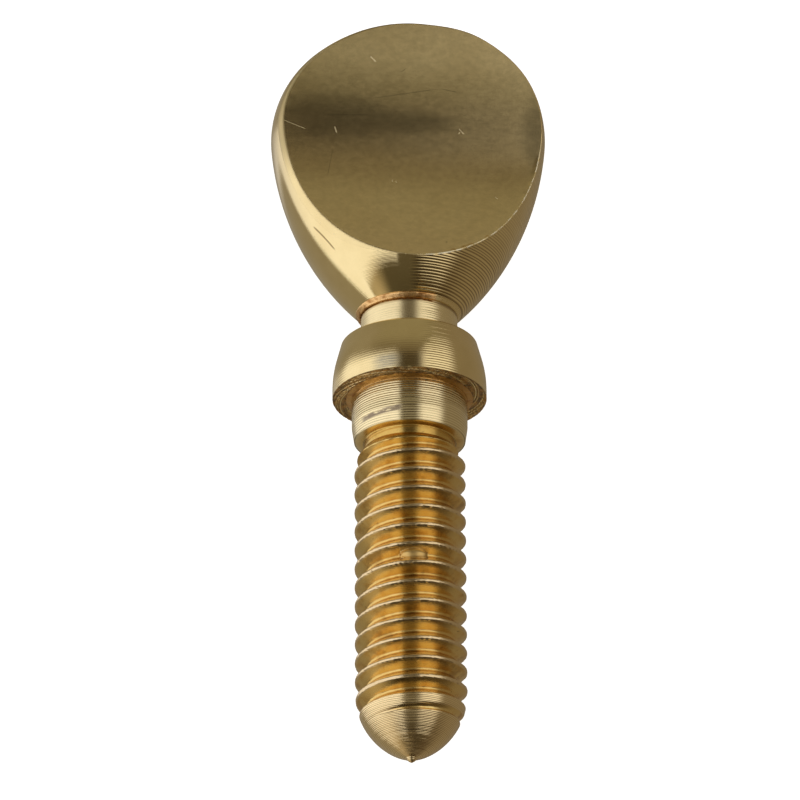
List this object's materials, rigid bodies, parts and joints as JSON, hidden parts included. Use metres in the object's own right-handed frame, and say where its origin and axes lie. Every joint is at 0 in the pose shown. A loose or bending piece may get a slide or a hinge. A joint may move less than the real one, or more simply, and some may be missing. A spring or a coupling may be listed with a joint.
{
  "type": "thumb screw",
  "caption": "Brass thumb screw with a dished paddle head, a tapered collar and a right-hand metric thread with a rounded nose.",
  "frame": {"origin": "on the screw's axis, in the plane of the collar's seat", "axes": "+Y along the screw from the tip to the head, +Z square to the upper thumb face"},
  "size_m": [0.0096, 0.0277, 0.0054],
  "materials": {
    "head_brass": "satin faces, polished left flank, fine turning marks on the right flank",
    "collar_brass": "polished with fine turning marks",
    "stem_brass": "as turned, bright crests",
    "head_filler": "rough copper-coloured brazing filler",
    "collar_filler": "rough copper-coloured brazing filler"
  },
  "bodies": {
    "root": {"thumb_head": "head_brass", "collar": "collar_brass", "threaded_stem": "stem_brass", "head_braze": "head_filler", "collar_braze": "collar_filler"}
  },
  "joints": []
}
